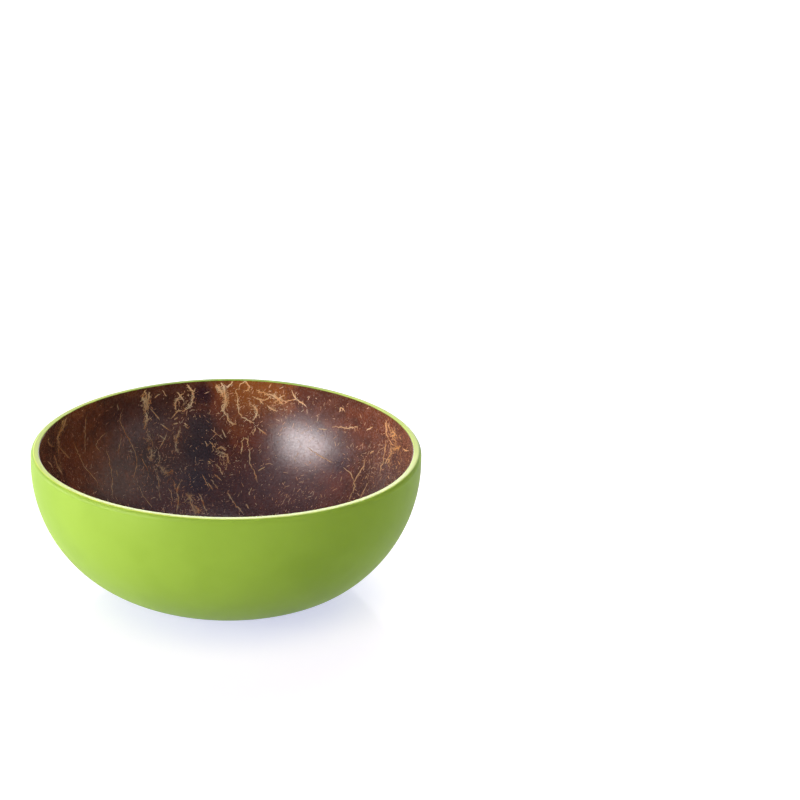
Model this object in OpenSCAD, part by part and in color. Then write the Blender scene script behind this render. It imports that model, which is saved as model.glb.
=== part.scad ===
// Coconut shell bowl: one half of a coconut shell, sawn level at the rim and sanded flat underneath.
// The outside is filled, rubbed smooth and lacquered, and the inside is left brown under clear varnish.
// Millimetres, +Z up. The origin is on the nut's axis, in the plane of the flat seat.

/* [Bowl] */
// Width across the widest level, from a ridge to the flank opposite
bowl_w = 140; // [120:1:160]
// Height of the widest level above the seat
belly_h = 51; // [42:0.5:60]
// Height of the rim above the widest level
rim_rise = 4.5; // [2:0.5:9]
// Depth to which the seat is sanded into the nut's curve
seat_cut = 0.2; // [0.1:0.05:1]

/* [Nut] */
// Distance from the nut's axis to the centre that each of its three flanks is drawn from
flank_offset = 3.5; // [2:0.5:7]
// Direction of the first ridge between two flanks, in degrees from +X
ridge_turn = 79; // [0:0.5:120]

/* [Shell] */
// Thickness of the shell at the widest level
shell_wall = 2; // [1.6:0.1:4]
// Thickness of the shell left over the seat
shell_floor = 3; // [2:0.1:5]
// Depth to which the floor inside is scraped into the hollow's curve
scrape_cut = 0.2; // [0.1:0.05:1]
// Radius sanded on the outer edge of the sawn rim
rim_edge_r = 1.1; // [0.6:0.05:1.2]

/* [Coats] */
// Thickness of the ground coat that fills the shell's pores
ground_t = 0.25; // [0.2:0.05:0.5]
// Thickness of the coloured lacquer
lacquer_t = 0.25; // [0.2:0.05:0.5]
// Thickness of the clear varnish inside
varnish_t = 0.15; // [0.1:0.05:0.3]
// Hairline between one layer and the next, so that each is a solid of its own
layer_gap = 0.05; // [0.03:0.01:0.1]
// Colour of the lacquer
lacquer_colour = "YellowGreen"; // [YellowGreen, OrangeRed, Gold, MediumTurquoise]

/* [Hidden] */
$fn = 180;

// How far a cut runs past the face that it opens
overrun = 1;
// How deep the rim's rounded edge bites into its corner, as a share of its radius
edge_bite_share = 0.97;
// How much of what lies under it the varnish hides
varnish_cover_share = 0.4;

// The plan has three flanks, each an arc about a centre on the far side of the axis
flanks = 3;
flank_step = 360 / flanks;
// Half the width of the bowl's section about a flank's centre, which gives the width from ridge to flank
ridge_span = bowl_w + flank_offset * (1 - cos(flank_step));
half_w = (pow(ridge_span, 2) + pow(flank_offset * sin(flank_step), 2)) / (2 * ridge_span);

// Outer half section: a flat seat and one round belly curve
rim_h = belly_h + rim_rise;
belly_r = belly_h + seat_cut;
belly_x = half_w - belly_r;

// Depth below the lacquered face of the ground coat's two faces, and of the shell under both coats
ground_top = lacquer_t + layer_gap;
ground_under = ground_top + ground_t;
coats_t = ground_under + layer_gap;

// Rounded outer edge of the rim
edge_r = rim_edge_r + coats_t;
edge_bite = edge_r * edge_bite_share;
edge_x = belly_x + sqrt(pow(belly_r, 2) - pow(rim_rise - edge_r, 2)) - edge_bite;
edge_z = rim_h - edge_bite;

// Hollow half section: a flat floor and one round wall curve
hollow_floor = coats_t + shell_floor;
hollow_r = belly_h - hollow_floor + scrape_cut;
hollow_x = half_w - coats_t - shell_wall - hollow_r;

// Half of the bowl's outer section as a full shape, drawn in by the thickness of the coats outside it
module outer_half(inset) {
    difference() {
        intersection() {
            translate([0, inset])
                square([half_w, rim_h - 2 * inset]);
            union() {
                square([belly_x, rim_h]);
                translate([belly_x, belly_h])
                    circle(r = belly_r - inset);
            }
        }
        translate([edge_x, edge_z])
            difference() {
                square(edge_r + overrun);
                circle(r = edge_r - inset);
            }
    }
}

// Half of the hollow's section up to a given height, drawn in by the thickness of what lines it
module hollow_half(inset, top) {
    floor_z = hollow_floor + inset;
    intersection() {
        translate([0, floor_z])
            square([half_w, top - floor_z]);
        union() {
            square([hollow_x, top]);
            translate([hollow_x, belly_h])
                circle(r = hollow_r - inset);
        }
    }
}

// Turns a half section about each flank's centre and keeps what the three turned shapes share
module three_flanks() {
    intersection_for (flank = [0 : flanks - 1])
        rotate([0, 0, ridge_turn + flank * flank_step])
            translate([flank_offset, 0, 0])
                rotate_extrude()
                    children();
}

// The bowl's outer form as a solid, inside coats of a given thickness
module outer_form(inset) {
    three_flanks()
        outer_half(inset);
}

// What the hollow takes out, open above the rim
module hollow_cut(inset) {
    three_flanks()
        hollow_half(inset, rim_h + overrun);
}

module coconut_shell() {
    color("SaddleBrown")
        difference() {
            outer_form(coats_t);
            hollow_cut(0);
        }
}

module ground_coat() {
    color("Linen")
        difference() {
            outer_form(ground_top);
            outer_form(ground_under);
            hollow_cut(0);
        }
}

module lacquer_coat() {
    color(lacquer_colour)
        difference() {
            outer_form(0);
            outer_form(lacquer_t);
            hollow_cut(0);
        }
}

module inner_varnish() {
    color("SandyBrown", varnish_cover_share)
        difference() {
            three_flanks()
                hollow_half(layer_gap, rim_h - coats_t);
            hollow_cut(layer_gap + varnish_t);
        }
}

coconut_shell();
ground_coat();
lacquer_coat();
inner_varnish();
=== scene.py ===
"""Dresses the coconut shell bowl: green lacquer outside, brown shell and its fibres inside.

Sizes are in metres and in the part's own frame, with +Z up and the flat seat in the plane of the origin.
Fibres that the photograph shows are held as routes in its pixels, and each one is laid on the hollow's wall.
"""

from __future__ import annotations

import logging
import math
from dataclasses import dataclass, field
from enum import Enum
from typing import Any, Iterable, Mapping, Sequence

import bpy
import numpy as np
from mathutils import Matrix, Vector
from mathutils.bvhtree import BVHTree


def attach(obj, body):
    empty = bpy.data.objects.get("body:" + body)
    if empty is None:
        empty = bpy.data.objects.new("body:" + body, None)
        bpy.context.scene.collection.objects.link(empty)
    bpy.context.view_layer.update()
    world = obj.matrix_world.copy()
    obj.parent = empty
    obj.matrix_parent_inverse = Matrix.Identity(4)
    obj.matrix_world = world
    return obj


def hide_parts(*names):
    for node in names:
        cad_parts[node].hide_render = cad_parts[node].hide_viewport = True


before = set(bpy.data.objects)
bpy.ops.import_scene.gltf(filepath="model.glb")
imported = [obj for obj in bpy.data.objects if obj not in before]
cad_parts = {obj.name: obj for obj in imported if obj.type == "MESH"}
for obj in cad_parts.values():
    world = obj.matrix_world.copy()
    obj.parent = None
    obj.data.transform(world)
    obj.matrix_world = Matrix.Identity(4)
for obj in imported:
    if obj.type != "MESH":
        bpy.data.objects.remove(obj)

LOG = logging.getLogger("coconut_bowl")
MM = 0.001
ROOT_BODY = "root"

Pixel = tuple[float, float]
Colour = tuple[float, float, float]
Span = tuple[float, float]


def linear(red: int, green: int, blue: int) -> Colour:
    """Turns a colour read off a screen, 0 to 255, into the shader's linear values.

    Args:
        red: Red of the colour as shown.
        green: Green of the colour as shown.
        blue: Blue of the colour as shown.

    Returns:
        The linear colour.
    """
    shares = (value / 255 for value in (red, green, blue))
    return tuple(s / 12.92 if s <= 0.04045 else ((s + 0.055) / 1.055) ** 2.4 for s in shares)


def stand(name: str, data: Any) -> bpy.types.Object:
    """Adds an object to the scene at the origin and returns it."""
    thing = bpy.data.objects.new(name, data)
    bpy.context.scene.collection.objects.link(thing)
    return thing


def bare_mesh(
    name: str, points: Sequence[Any], edges: Sequence[Any], faces: Sequence[Any]
) -> bpy.types.Mesh:
    """Makes a mesh from its points, edges and faces."""
    mesh = bpy.data.meshes.new(name)
    mesh.from_pydata(points, edges, faces)
    return mesh


def hold(mesh: bpy.types.Mesh, label: str, values: np.ndarray) -> None:
    """Holds a number or a vector for each point of a mesh.

    Args:
        mesh: The mesh.
        label: Name by which finishes and trees find the values.
        values: One number, or one row of three, for each point.
    """
    kind, content = ("FLOAT", "value") if values.ndim == 1 else ("FLOAT_VECTOR", "vector")
    held = mesh.attributes.new(label, kind, "POINT")
    held.data.foreach_set(content, values.astype(np.float32).ravel())


# The nut's form


@dataclass(frozen=True)
class Ring:
    """One level loop of a lofted wall.

    The section is the loop's radius about a flank's centre, and the share says how much of the loop's
    reach is kept, which closes a flat disc towards its middle.
    """

    section: float
    height: float
    share: float = 1.0


@dataclass(frozen=True)
class NutForm:
    """The round, faintly three-cornered form that the nut gives to the shell and to every coat on it."""

    bowl_w: float = 140.0 * MM
    belly_h: float = 51.0 * MM
    rim_rise: float = 4.5 * MM
    seat_cut: float = 0.2 * MM
    flank_offset: float = 3.5 * MM
    ridge_turn: float = math.radians(79.0)
    flanks: int = 3
    shell_wall: float = 2.0 * MM
    shell_floor: float = 3.0 * MM
    scrape_cut: float = 0.2 * MM
    rim_edge_r: float = 1.1 * MM
    edge_bite_share: float = 0.97
    ground_t: float = 0.25 * MM
    lacquer_t: float = 0.25 * MM
    varnish_t: float = 0.15 * MM
    layer_gap: float = 0.05 * MM
    ridge_soft: float = 0.6 * MM
    spokes: int = 288
    disc_loops: int = 10
    curve_loops: int = 64
    edge_loops: int = 18
    sharp_angle: float = math.radians(11.0)

    @property
    def half_w(self) -> float:
        """Half the width of the section about a flank's centre."""
        step = math.tau / self.flanks
        span = self.bowl_w + self.flank_offset * (1 - math.cos(step))
        return (span**2 + (self.flank_offset * math.sin(step)) ** 2) / (2 * span)

    @property
    def rim_h(self) -> float:
        """Height of the rim's top above the seat."""
        return self.belly_h + self.rim_rise

    @property
    def belly_r(self) -> float:
        """Radius of the round belly curve."""
        return self.belly_h + self.seat_cut

    @property
    def belly_x(self) -> float:
        """Distance from a flank's centre to the middle of the belly curve."""
        return self.half_w - self.belly_r

    @property
    def ground_top(self) -> float:
        """Depth of the ground coat's outer face below the lacquered one."""
        return self.lacquer_t + self.layer_gap

    @property
    def ground_under(self) -> float:
        """Depth of the ground coat's inner face below the lacquered one."""
        return self.ground_top + self.ground_t

    @property
    def coats_t(self) -> float:
        """Depth of the shell's outer face below the lacquered one."""
        return self.ground_under + self.layer_gap

    @property
    def hollow_floor(self) -> float:
        """Height of the scraped floor above the seat."""
        return self.coats_t + self.shell_floor

    @property
    def hollow_r(self) -> float:
        """Radius of the hollow's wall curve."""
        return self.belly_h - self.hollow_floor + self.scrape_cut

    @property
    def hollow_x(self) -> float:
        """Distance from a flank's centre to the middle of the hollow's wall curve."""
        return self.half_w - self.coats_t - self.shell_wall - self.hollow_r

    @property
    def lining_t(self) -> float:
        """Depth of the varnished face inside the bare hollow."""
        return self.layer_gap + self.varnish_t

    def angles(self) -> np.ndarray:
        """Directions of the spokes, in radians from +X."""
        return np.arange(self.spokes) * math.tau / self.spokes

    def reach(self, section: float, angles: np.ndarray) -> np.ndarray:
        """Finds how far a loop lies from the nut's axis.

        Args:
            section: The loop's radius about a flank's centre.
            angles: Directions to look in, in radians from +X.

        Returns:
            One distance for each direction, with the ridges between flanks rounded over.
        """
        flanks = []
        for flank in range(self.flanks):
            lean = angles - self.ridge_turn - flank * math.tau / self.flanks
            side = self.flank_offset * np.sin(lean)
            flanks.append(self.flank_offset * np.cos(lean) + np.sqrt(section**2 - side**2))
        nearest = np.min(flanks, axis=0)
        spread = sum(np.exp((nearest - flank) / self.ridge_soft) for flank in flanks)
        return nearest - self.ridge_soft * np.log(spread)

    def disc(self, section: float, height: float) -> list[Ring]:
        """Rings of a flat disc, from its middle to just short of its edge."""
        return [Ring(section, height, loop / self.disc_loops) for loop in range(self.disc_loops)]

    @staticmethod
    def arc(middle: tuple[float, float], radius: float, angles: Iterable[float]) -> list[Ring]:
        """Rings round an arc of the section, at angles measured from straight down."""
        x, z = middle
        return [Ring(x + radius * math.sin(angle), z - radius * math.cos(angle)) for angle in angles]

    def outside(self, inset: float) -> list[Ring]:
        """Follows the outer face at a depth below the lacquered one.

        Args:
            inset: Depth of the face below the lacquered one.

        Returns:
            Rings from the seat's middle up the belly and over the rim's rounded edge.
        """
        curve = self.belly_r - inset
        full_edge = self.rim_edge_r + self.coats_t
        edge = full_edge - inset
        bite = full_edge * self.edge_bite_share
        across = math.sqrt(self.belly_r**2 - (self.rim_rise - full_edge) ** 2) - bite
        rise = self.rim_rise - bite
        far = math.hypot(across, rise)
        shared = (curve**2 - edge**2 + far**2) / (2 * far)
        lean = math.atan2(rise, across)
        low = math.acos((self.belly_h - inset) / curve)
        high = math.pi / 2 + lean - math.acos(shared / curve)
        start = math.pi / 2 + lean - math.acos((shared - far) / edge)
        end = math.pi - math.acos((bite - inset) / edge)
        rings = self.disc(self.belly_x + curve * math.sin(low), inset)
        rings += self.arc((self.belly_x, self.belly_h), curve, np.linspace(low, high, self.curve_loops))
        edge_middle = (self.belly_x + across, self.belly_h + rise)
        return rings + self.arc(edge_middle, edge, np.linspace(start, end, self.edge_loops)[1:])

    def hollow_section(self, height: float, inset: float = 0.0) -> float:
        """Section radius of the hollow's wall at a height, inside a lining of a given depth."""
        return self.hollow_x + math.sqrt((self.hollow_r - inset) ** 2 - (height - self.belly_h) ** 2)

    def hollow(self, inset: float, top: float) -> list[Ring]:
        """Follows the hollow's face inside a lining.

        Args:
            inset: Depth of the lining.
            top: Height at which the face ends.

        Returns:
            Rings from the floor's middle up the wall.
        """
        curve = self.hollow_r - inset
        floor = self.hollow_floor + inset
        low = math.acos((self.belly_h - floor) / curve)
        high = math.pi / 2 + math.asin((top - self.belly_h) / curve)
        rings = self.disc(self.hollow_x + curve * math.sin(low), floor)
        middle = (self.hollow_x, self.belly_h)
        return rings + self.arc(middle, curve, np.linspace(low, high, self.curve_loops))

    def skin(self, rings: Sequence[Ring]) -> tuple[list[tuple[float, float, float]], list[tuple[int, ...]]]:
        """Spans a run of rings with faces.

        Args:
            rings: The rings in order. One of share 0 is a single point.

        Returns:
            The points and the faces.
        """
        angles = self.angles()
        spokes = np.stack((np.cos(angles), np.sin(angles)), axis=1)
        points: list[tuple[float, float, float]] = []
        loops: list[list[int]] = []
        for ring in rings:
            first = len(points)
            if ring.share == 0:
                points.append((0.0, 0.0, ring.height))
                loops.append([first])
                continue
            flat = spokes * (self.reach(ring.section, angles) * ring.share)[:, None]
            points.extend((float(x), float(y), float(ring.height)) for x, y in flat)
            loops.append(list(range(first, first + self.spokes)))
        faces: list[tuple[int, ...]] = []
        for lower, upper in zip(loops, loops[1:]):
            for spoke in range(self.spokes):
                after = (spoke + 1) % self.spokes
                if len(lower) == 1:
                    faces.append((lower[0], upper[after], upper[spoke]))
                elif len(upper) == 1:
                    faces.append((lower[spoke], lower[after], upper[0]))
                else:
                    faces.append((lower[spoke], lower[after], upper[after], upper[spoke]))
        return points, faces

    def loft(self, name: str, rings: Sequence[Ring]) -> bpy.types.Mesh:
        """Skins a run of rings that starts and ends at a middle point.

        Args:
            name: Name of the mesh.
            rings: The rings in order.

        Returns:
            A closed mesh whose faces point outwards.
        """
        points, faces = self.skin(rings)
        mesh = bare_mesh(name, points, [], faces)
        if self.signed_volume(mesh) < 0:
            mesh.flip_normals()
        mesh.shade_smooth()
        mesh.set_sharp_from_angle(angle=self.sharp_angle)
        return mesh

    @staticmethod
    def signed_volume(mesh: bpy.types.Mesh) -> float:
        """Volume that a closed mesh holds, negative where its faces point inwards."""
        mesh.calc_loop_triangles()
        corners = np.array([triangle.vertices for triangle in mesh.loop_triangles])
        points = np.array([vertex.co for vertex in mesh.vertices])
        a, b, c = (points[corners[:, corner]] for corner in range(3))
        return float(np.einsum("ij,ij->i", a, np.cross(b, c)).sum() / 6)


# The viewpoint


@dataclass(frozen=True)
class Sight:
    """Where the camera stands, and the pixel of the square image at which it sees the bowl's middle."""

    middle: tuple[float, float, float] = (0.0, 0.0, 30.0 * MM)
    distance: float = 900.0 * MM
    elevation: float = math.radians(22.95)
    focal_px: float = 2478.0
    middle_px: Pixel = (227.9, 509.8)
    image_px: float = 800.0
    sensor_mm: float = 36.0
    clip: Span = (0.01, 50.0)

    def matrix(self) -> Matrix:
        """Works out the camera's place and turn.

        Returns:
            The camera's matrix: it faces the bowl's middle, and then turns off it without rolling.
        """
        back = Vector((0.0, -math.cos(self.elevation), math.sin(self.elevation)))
        right = Vector((1.0, 0.0, 0.0))
        facing = Matrix((right, back.cross(right), back)).transposed()
        aside = Vector((0.0, 0.0, -1.0)).rotation_difference(self.local(self.middle_px))
        turn = facing @ aside.to_matrix().inverted()
        return Matrix.Translation(Vector(self.middle) + back * self.distance) @ turn.to_4x4()

    def local(self, pixel: Pixel) -> Vector:
        """Direction of a pixel in the camera's own axes."""
        half = self.image_px / 2
        return Vector((pixel[0] - half, half - pixel[1], -self.focal_px)).normalized()

    def ray(self, pixel: Pixel) -> tuple[Vector, Vector]:
        """Start and direction of the line of sight through a pixel."""
        matrix = self.matrix()
        return matrix.translation, (matrix.to_3x3() @ self.local(pixel)).normalized()

    def make_camera(self) -> None:
        """Adds the scene's camera."""
        data = bpy.data.cameras.new("camera")
        data.sensor_width = self.sensor_mm
        data.lens = self.sensor_mm * self.focal_px / self.image_px
        data.clip_start, data.clip_end = self.clip
        camera = stand("camera", data)
        camera.matrix_world = self.matrix()
        bpy.context.scene.camera = camera


# Node trees written as expressions


class Wire:
    """A node's output that maths can be written with: each operator adds one Math node."""

    def __init__(self, graph: Graph, socket: bpy.types.NodeSocket) -> None:
        """Keeps the graph that the output belongs to.

        Args:
            graph: The tree that new nodes go into.
            socket: The output itself.
        """
        self.graph = graph
        self.socket = socket

    def maths(self, operation: str, first: Value, second: Value) -> Wire:
        """Adds one Math node and returns its result."""
        return self.graph.wire("ShaderNodeMath", {"operation": operation}, {0: first, 1: second})

    def __add__(self, other: Value) -> Wire:
        """Sum."""
        return self.maths("ADD", self, other)

    __radd__ = __add__

    def __sub__(self, other: Value) -> Wire:
        """Difference."""
        return self.maths("SUBTRACT", self, other)

    def __rsub__(self, other: Value) -> Wire:
        """Difference from a number."""
        return self.maths("SUBTRACT", other, self)

    def __mul__(self, other: Value) -> Wire:
        """Product."""
        return self.maths("MULTIPLY", self, other)

    __rmul__ = __mul__

    def __pow__(self, other: Value) -> Wire:
        """Power."""
        return self.maths("POWER", self, other)

    def ease(self, low: float, high: float) -> Wire:
        """Eases from 0 at one value to 1 at another.

        Args:
            low: Value that gives 0.
            high: Value that gives 1.

        Returns:
            The eased value, held between 0 and 1.
        """
        settings = {"interpolation_type": "SMOOTHSTEP"}
        sockets = {"Value": self, "From Min": low, "From Max": high, "To Min": 0.0, "To Max": 1.0}
        return self.graph.wire("ShaderNodeMapRange", settings, sockets)


Value = Wire | float | int
Settings = Mapping[str, Any] | None
Sockets = Mapping[str | int, Any] | None


class Graph:
    """A node tree being built."""

    def __init__(self, tree: bpy.types.NodeTree) -> None:
        """Keeps the tree that nodes are added to."""
        self.tree = tree

    def node(self, kind: str, settings: Settings = None, sockets: Sockets = None) -> bpy.types.Node:
        """Adds one node.

        Args:
            kind: The node's type.
            settings: The node's own options, set first.
            sockets: Values or wires for its inputs, by name or by number.

        Returns:
            The node.
        """
        node = self.tree.nodes.new(kind)
        for name, value in (settings or {}).items():
            setattr(node, name, value)
        for key, value in (sockets or {}).items():
            socket = node.inputs[key]
            if isinstance(value, Wire):
                self.tree.links.new(value.socket, socket)
            elif isinstance(value, tuple) and socket.type == "RGBA":
                socket.default_value = (*value, 1.0)
            else:
                socket.default_value = value
        return node

    def wire(
        self, kind: str, settings: Settings = None, sockets: Sockets = None, output: str | int = 0
    ) -> Wire:
        """Adds one node and takes one of its outputs.

        Args:
            kind: The node's type.
            settings: The node's own options.
            sockets: Values or wires for its inputs.
            output: Name or number of the output.

        Returns:
            The output as a wire.
        """
        return Wire(self, self.node(kind, settings, sockets).outputs[output])

    def vectors(self, operation: str, sockets: Sockets, output: str = "Vector") -> Wire:
        """Adds one Vector Math node and returns its result."""
        return self.wire("ShaderNodeVectorMath", {"operation": operation}, sockets, output)

    def parts(self, vector: Wire) -> tuple[Wire, ...]:
        """The X, Y and Z of a vector."""
        node = self.node("ShaderNodeSeparateXYZ", None, {0: vector})
        return tuple(Wire(self, node.outputs[axis]) for axis in "XYZ")

    def mix(self, share: Value, first: Any, second: Any) -> Wire:
        """Mixes two colours.

        Args:
            share: How much of the second there is.
            first: A colour or a wire.
            second: A colour or a wire.

        Returns:
            The mixed colour.
        """
        sockets = {0: share, 6: first, 7: second}
        return self.wire("ShaderNodeMix", {"data_type": "RGBA"}, sockets, output=2)


class Paint(Graph):
    """A material's node tree, with the textures that the finishes share."""

    def __init__(self, name: str) -> None:
        """Starts an empty material.

        Args:
            name: Name of the material.
        """
        self.material = bpy.data.materials.new(name)
        self.material.use_nodes = True
        super().__init__(self.material.node_tree)
        self.tree.nodes.clear()

    def place(self) -> Wire:
        """The piece's own coordinates."""
        return self.wire("ShaderNodeTexCoord", output="Object")

    def attribute(self, name: str, output: str = "Fac") -> Wire:
        """A value held in the piece's mesh."""
        return self.wire("ShaderNodeAttribute", {"attribute_name": name}, output=output)

    def scaled(self, way: Wire, scale: tuple[float, float, float]) -> Wire:
        """Coordinates stretched by a scale on each axis."""
        return self.vectors("MULTIPLY", {0: way, 1: scale})

    def noise(
        self, way: Wire, scale: float, detail: float = 2.0, rough: float = 0.5, bend: float = 0.0
    ) -> Wire:
        """Soft noise.

        Args:
            way: Coordinates that it lies on.
            scale: Number of swells per metre.
            detail: Number of finer layers.
            rough: Strength of each finer layer.
            bend: How far it is twisted.

        Returns:
            A value of about 0.5.
        """
        sockets = {"Vector": way, "Scale": scale, "Detail": detail, "Roughness": rough, "Distortion": bend}
        return self.wire("ShaderNodeTexNoise", None, sockets)

    def bump(self, height: Wire, strength: float, depth: float) -> Wire:
        """Normals of a surface with small relief.

        Args:
            height: The relief, of about 0 to 1.
            strength: How much of the relief shows.
            depth: Size of the relief from 0 to 1.

        Returns:
            The normal.
        """
        return self.wire("ShaderNodeBump", None, {"Strength": strength, "Distance": depth, "Height": height})

    def finish(self, sockets: Mapping[str, Any]) -> bpy.types.Material:
        """Ends the material in one shader.

        Args:
            sockets: Values and wires for the shader's inputs.

        Returns:
            The material.
        """
        shader = self.wire("ShaderNodeBsdfPrincipled", None, sockets)
        self.node("ShaderNodeOutputMaterial", None, {"Surface": shader})
        return self.material


# Finishes


@dataclass(frozen=True)
class LacquerFinish:
    """Satin leaf-green lacquer, sprayed and smoothed down, with a highlight painted on the rim's top."""

    rim_h: float
    green: Colour = linear(157, 195, 67)
    deep: Colour = linear(150, 188, 61)
    # Paler green painted on the rim's top as a highlight.
    painted_rim_highlight: Colour = linear(222, 246, 84)
    cloud_scale: float = 38.0
    peel_scale: float = 900.0
    peel_depth: float = 0.05 * MM
    rub_scale: float = 420.0
    roughness: float = 0.5
    sheen: float = 0.24
    rim_roughness: float = 0.2
    rim_band_depth: float = 0.25 * MM
    # Where the painted rim highlight fades in, from back to front.
    highlight_starts: float = -70.0 * MM
    highlight_ends: float = 50.0 * MM
    side_starts: float = 22.0 * MM
    side_ends: float = 48.0 * MM

    def material(self) -> bpy.types.Material:
        """Builds the material: a faint cloud, fine peel, and a paler highlight painted on the rim's top, full
        at the front, less at the sides and faint at the back.
        """
        paint = Paint("lacquer_green")
        place = paint.place()
        cloud = paint.noise(place, self.cloud_scale, 3.0).ease(0.35, 0.65)
        peel = paint.noise(place, self.peel_scale)
        rub = paint.noise(paint.scaled(place, (1.0, 1.0, 0.25)), self.rub_scale)
        across, along, up = paint.parts(place)
        top = up.ease(self.rim_h - self.rim_band_depth, self.rim_h - self.rim_band_depth / 4)
        front = (across * 0.2 - along).ease(self.highlight_starts, self.highlight_ends)
        side = (across * across).ease(self.side_starts**2, self.side_ends**2)
        # Painted highlight: the rim's top takes the paler green fully at the front, mostly at the sides and
        # only faintly at the back.
        painted_highlight = top * (1 - 0.85 * (1 - front**2.0) * (1 - 0.6 * side))
        return paint.finish(
            {
                "Base Color": paint.mix(painted_highlight, paint.mix(cloud, self.deep, self.green), self.painted_rim_highlight),
                "Roughness": self.roughness + 0.08 * (rub - 0.5),
                "Normal": paint.bump(peel, 0.1, self.peel_depth),
                "Specular IOR Level": self.sheen,
                "Coat Weight": top * (1 - (1 - front**8.0) * (1 - 0.2 * side)),
                "Coat Roughness": self.rim_roughness,
            }
        )


@dataclass(frozen=True)
class GroundFinish:
    """Rubbed-down filler, matt and off-white."""

    pale: Colour = linear(222, 214, 196)
    stain: Colour = linear(206, 194, 170)
    cloud_scale: float = 120.0
    scratch_scale: float = 1500.0
    scratch_depth: float = 0.05 * MM
    roughness: float = 0.75

    def material(self) -> bpy.types.Material:
        """Builds the material: chalky colour with sanding marks."""
        paint = Paint("ground_filler")
        place = paint.place()
        cloud = paint.noise(place, self.cloud_scale, 3.0)
        scratch = paint.noise(paint.scaled(place, (1.0, 1.0, 0.1)), self.scratch_scale, 1.0)
        return paint.finish(
            {
                "Base Color": paint.mix(cloud.ease(0.4, 0.65), self.pale, self.stain),
                "Roughness": self.roughness + 0.2 * (scratch - 0.5),
                "Normal": paint.bump(scratch, 0.2, self.scratch_depth),
            }
        )


@dataclass(frozen=True)
class ShellFinish:
    """Scraped coconut shell under satin varnish: dark brown, cloudy, streaked and specked."""

    dark: Colour = linear(90, 52, 38)
    brown: Colour = linear(121, 70, 48)
    red: Colour = linear(142, 70, 40)
    gold: Colour = linear(172, 102, 42)
    plum: Colour = linear(52, 26, 42)
    pore: Colour = linear(36, 22, 18)
    speck: Colour = linear(196, 142, 92)
    swell_scale: float = 60.0
    blotch_scale: float = 210.0
    streak_scale: float = 620.0
    fine_scale: float = 1350.0
    speck_scale: float = 900.0
    choice_scale: float = 480.0
    relief: float = 0.22 * MM
    roughness: float = 0.27
    shell_ior: float = 1.5
    varnish_roughness: float = 0.26
    varnish_ior: float = 1.78

    def material(self) -> bpy.types.Material:
        """Builds the material from the tones held in the mesh and from grain that runs up the wall."""
        paint = Paint("coconut_shell_varnished")
        place = paint.place()
        grain = paint.attribute("grain", "Vector")
        swell = paint.noise(place, self.swell_scale, 4.0, 0.6, 0.4)
        blotch = paint.noise(place, self.blotch_scale, 4.0, 0.62, 0.6)
        streak = paint.noise(paint.scaled(grain, (1.0, 1.0, 0.12)), self.streak_scale, 3.0, 0.6)
        fine = paint.noise(place, self.fine_scale, 2.0, 0.6)
        warm = paint.attribute("warm") * 0.75 + (blotch - 0.5) * 0.9 + (swell - 0.5) * 0.5
        glow = paint.attribute("glow") * 0.9 + (blotch - 0.5) * 0.8
        dusk = paint.attribute("dusk") + (blotch - 0.5) * 0.5 + (streak - 0.5) * 0.5
        ground = paint.mix((swell * 0.6 + blotch * 0.4).ease(0.36, 0.64), self.dark, self.brown)
        ground = paint.mix(warm.ease(0.1, 0.75) * 0.8, ground, self.red)
        ground = paint.mix(glow.ease(0.25, 0.9) * 0.8, ground, self.gold)
        ground = paint.mix(dusk.ease(0.2, 0.9) * 0.9, ground, self.plum)
        ground = paint.mix((streak - 0.55).ease(0.0, 0.2) * 0.35, ground, self.pore)
        cells = {"Vector": place, "Scale": self.speck_scale, "Randomness": 1.0}
        specks = paint.wire("ShaderNodeTexVoronoi", {"feature": "F1"}, cells)
        chosen = paint.noise(place, self.choice_scale, 1.0)
        dot = (1 - specks.ease(0.12, 0.24)) * chosen.ease(0.52, 0.66)
        ground = paint.mix(dot * 0.6, ground, self.speck)
        return paint.finish(
            {
                "Base Color": ground,
                "Roughness": self.roughness + 0.2 * (fine - 0.5) + 0.1 * (blotch - 0.5),
                "Normal": paint.bump(fine * 0.7 + streak * 0.3, 0.85, self.relief),
                "IOR": self.shell_ior,
                "Coat Weight": 0.4 + 0.6 * fine.ease(0.32, 0.62),
                "Coat Roughness": self.varnish_roughness,
                "Coat IOR": self.varnish_ior,
            }
        )


@dataclass(frozen=True)
class FibreFinish:
    """Husk fibres left in the shell, straw to tan, under the same varnish."""

    name: str
    pale: Colour
    tan: Colour
    rust: Colour
    stain: Colour
    length_scale: float = 260.0
    fine_scale: float = 1900.0
    relief: float = 0.05 * MM
    roughness: float = 0.45

    def material(self) -> bpy.types.Material:
        """Builds the material: tan that pales and rusts along each fibre, and is stained in places."""
        paint = Paint(self.name)
        place = paint.place()
        along = paint.noise(place, self.length_scale, 3.0, 0.6)
        fine = paint.noise(place, self.fine_scale)
        colour = paint.mix(along.ease(0.4, 0.65), self.tan, self.pale)
        colour = paint.mix((0.45 - along).ease(0.0, 0.14), colour, self.rust)
        colour = paint.mix((fine - 0.5).ease(0.0, 0.2) * 0.2, colour, self.rust)
        colour = paint.mix(paint.attribute("stain") * 0.85, colour, self.stain)
        return paint.finish(
            {
                "Base Color": colour,
                "Roughness": self.roughness + 0.2 * (fine - 0.5),
                "Normal": paint.bump(fine, 0.2, self.relief),
            }
        )


STRAW = FibreFinish(
    "fibre_tan",
    pale=linear(255, 233, 186),
    tan=linear(255, 212, 148),
    rust=linear(240, 172, 108),
    stain=linear(214, 152, 76),
)
CHAFF = FibreFinish(
    "fleck_tan",
    pale=linear(255, 232, 190),
    tan=linear(250, 194, 140),
    rust=linear(170, 110, 74),
    stain=linear(190, 126, 76),
)


# Geometry Nodes


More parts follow.
